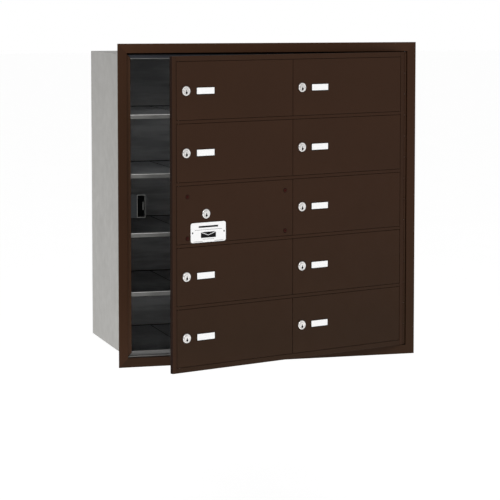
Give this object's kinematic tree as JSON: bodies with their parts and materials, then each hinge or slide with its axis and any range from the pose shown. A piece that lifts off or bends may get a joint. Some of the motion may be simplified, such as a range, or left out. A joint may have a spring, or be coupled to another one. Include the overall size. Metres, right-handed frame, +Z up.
{
  "type": "recessed front-loading mailbox unit",
  "caption": "Wall-recessed horizontal mailbox unit: a mitred trim frame, a sheet-metal housing with shelves, and a hinged master door carrying locked tenant doors and a carrier lock panel.",
  "frame": {"origin": "centre of the trim frame in the wall plane, which is the plane of the back of the trim face", "axes": "+Z up, -Y out of the wall towards the user, +X to the user's right as they face the doors"},
  "size_m": [0.741, 0.6352, 0.762],
  "materials": {
    "bronze_paint": "dark bronze powder coat, satin, on aluminium",
    "bare_aluminium": "plain mill-finish sheet",
    "lock_metal": "satin nickel plate",
    "zinc_steel": "zinc plated",
    "white_label": "satin white"
  },
  "bodies": {
    "housing": {"left_side_panel": "bare_aluminium", "right_side_panel": "bare_aluminium", "top_panel": "bare_aluminium", "bottom_panel": "bare_aluminium", "back_panel": "bare_aluminium", "center_partition": "bare_aluminium", "latch_strike": "zinc_steel", "shelf_1": "bare_aluminium", "shelf_2": "bare_aluminium", "shelf_3": "bare_aluminium", "shelf_4": "bare_aluminium", "shelf_5": "bare_aluminium", "trim_top": "bronze_paint", "trim_bottom": "bronze_paint", "trim_left": "bronze_paint", "trim_right": "bronze_paint", "hinge_fixed_leaf": "bronze_paint", "hinge_pin": "zinc_steel"},
    "master_door": {"door_left_stile": "bronze_paint", "door_right_stile": "bronze_paint", "door_mullion": "bronze_paint", "door_top_rail": "bronze_paint", "door_bottom_rail": "bronze_paint", "door_rail_1": "bronze_paint", "door_rail_2": "bronze_paint", "door_rail_3": "bronze_paint", "door_rail_4": "bronze_paint", "hinge_moving_leaf": "bronze_paint", "lock_panel": "bronze_paint", "label_plate": "white_label", "master_lock_body": "lock_metal"},
    "master_plug": {"master_lock_plug": "lock_metal"},
    "master_latch": {"master_latch": "zinc_steel"},
    "box_door_1": {"box_door_1": "bronze_paint", "box_lock_body_1": "lock_metal"},
    "box_plug_1": {"box_lock_plug_1": "lock_metal"},
    "box_door_2": {"box_door_2": "bronze_paint", "box_lock_body_2": "lock_metal"},
    "box_plug_2": {"box_lock_plug_2": "lock_metal"},
    "box_door_3": {"box_door_3": "bronze_paint", "box_lock_body_3": "lock_metal"},
    "box_plug_3": {"box_lock_plug_3": "lock_metal"},
    "box_door_4": {"box_door_4": "bronze_paint", "box_lock_body_4": "lock_metal"},
    "box_plug_4": {"box_lock_plug_4": "lock_metal"},
    "box_door_5": {"box_door_5": "bronze_paint", "box_lock_body_5": "lock_metal"},
    "box_plug_5": {"box_lock_plug_5": "lock_metal"},
    "box_door_6": {"box_door_6": "bronze_paint", "box_lock_body_6": "lock_metal"},
    "box_plug_6": {"box_lock_plug_6": "lock_metal"},
    "box_door_7": {"box_door_7": "bronze_paint", "box_lock_body_7": "lock_metal"},
    "box_plug_7": {"box_lock_plug_7": "lock_metal"},
    "box_door_8": {"box_door_8": "bronze_paint", "box_lock_body_8": "lock_metal"},
    "box_plug_8": {"box_lock_plug_8": "lock_metal"},
    "box_door_9": {"box_door_9": "bronze_paint", "box_lock_body_9": "lock_metal"},
    "box_plug_9": {"box_lock_plug_9": "lock_metal"}
  },
  "joints": [
    {"name": "master_door_hinge", "type": "hinge", "parent": "housing", "child": "master_door", "pos_m": [0.34325, 0.00175, 0], "axis": [0, 0, 1], "range_deg": [-20.5, 79.5]},
    {"name": "master_lock_turn", "type": "hinge", "parent": "master_door", "child": "master_plug", "pos_m": [-0.21441, -0.21129, 0], "axis": [0.3502, -0.9367, 0], "range_deg": [0, 90]},
    {"name": "master_latch_slide", "type": "slide", "parent": "master_door", "child": "master_latch", "axis": [-0.9367, -0.3502, 0], "range_m": [0, 0.018]},
    {"name": "box_door_1_hinge", "type": "hinge", "parent": "master_door", "child": "box_door_1", "pos_m": [0.01616, -0.12295, 0.2794], "axis": [0, 0, 1], "range_deg": [0, 100]},
    {"name": "box_lock_1_turn", "type": "hinge", "parent": "box_door_1", "child": "box_plug_1", "pos_m": [-0.26733, -0.23107, 0.2794], "axis": [-0.3502, 0.9367, 0], "range_deg": [0, 90]},
    {"name": "box_door_2_hinge", "type": "hinge", "parent": "master_door", "child": "box_door_2", "pos_m": [0.01616, -0.12295, 0.1397], "axis": [0, 0, 1], "range_deg": [0, 100]},
    {"name": "box_lock_2_turn", "type": "hinge", "parent": "box_door_2", "child": "box_plug_2", "pos_m": [-0.26733, -0.23107, 0.1397], "axis": [-0.3502, 0.9367, 0], "range_deg": [0, 90]},
    {"name": "box_door_3_hinge", "type": "hinge", "parent": "master_door", "child": "box_door_3", "pos_m": [0.01616, -0.12295, -0.1397], "axis": [0, 0, 1], "range_deg": [0, 100]},
    {"name": "box_lock_3_turn", "type": "hinge", "parent": "box_door_3", "child": "box_plug_3", "pos_m": [-0.26733, -0.23107, -0.1397], "axis": [-0.3502, 0.9367, 0], "range_deg": [0, 90]},
    {"name": "box_door_4_hinge", "type": "hinge", "parent": "master_door", "child": "box_door_4", "pos_m": [0.01616, -0.12295, -0.2794], "axis": [0, 0, 1], "range_deg": [0, 100]},
    {"name": "box_lock_4_turn", "type": "hinge", "parent": "box_door_4", "child": "box_plug_4", "pos_m": [-0.26733, -0.23107, -0.2794], "axis": [-0.3502, 0.9367, 0], "range_deg": [0, 90]},
    {"name": "box_door_5_hinge", "type": "hinge", "parent": "master_door", "child": "box_door_5", "pos_m": [0.32657, -0.00689, 0.2794], "axis": [0, 0, 1], "range_deg": [0, 100]},
    {"name": "box_lock_5_turn", "type": "hinge", "parent": "box_door_5", "child": "box_plug_5", "pos_m": [0.04308, -0.11502, 0.2794], "axis": [-0.3502, 0.9367, 0], "range_deg": [0, 90]},
    {"name": "box_door_6_hinge", "type": "hinge", "parent": "master_door", "child": "box_door_6", "pos_m": [0.32657, -0.00689, 0.1397], "axis": [0, 0, 1], "range_deg": [0, 100]},
    {"name": "box_lock_6_turn", "type": "hinge", "parent": "box_door_6", "child": "box_plug_6", "pos_m": [0.04308, -0.11502, 0.1397], "axis": [-0.3502, 0.9367, 0], "range_deg": [0, 90]},
    {"name": "box_door_7_hinge", "type": "hinge", "parent": "master_door", "child": "box_door_7", "pos_m": [0.32657, -0.00689, 0], "axis": [0, 0, 1], "range_deg": [0, 100]},
    {"name": "box_lock_7_turn", "type": "hinge", "parent": "box_door_7", "child": "box_plug_7", "pos_m": [0.04308, -0.11502, 0], "axis": [-0.3502, 0.9367, 0], "range_deg": [0, 90]},
    {"name": "box_door_8_hinge", "type": "hinge", "parent": "master_door", "child": "box_door_8", "pos_m": [0.32657, -0.00689, -0.1397], "axis": [0, 0, 1], "range_deg": [0, 100]},
    {"name": "box_lock_8_turn", "type": "hinge", "parent": "box_door_8", "child": "box_plug_8", "pos_m": [0.04308, -0.11502, -0.1397], "axis": [-0.3502, 0.9367, 0], "range_deg": [0, 90]},
    {"name": "box_door_9_hinge", "type": "hinge", "parent": "master_door", "child": "box_door_9", "pos_m": [0.32657, -0.00689, -0.2794], "axis": [0, 0, 1], "range_deg": [0, 100]},
    {"name": "box_lock_9_turn", "type": "hinge", "parent": "box_door_9", "child": "box_plug_9", "pos_m": [0.04308, -0.11502, -0.2794], "axis": [-0.3502, 0.9367, 0], "range_deg": [0, 90]}
  ],
  "couplings": [
    {"joint": "master_latch_slide", "follows": "master_lock_turn", "m_per_rad": 0.011459}
  ]
}
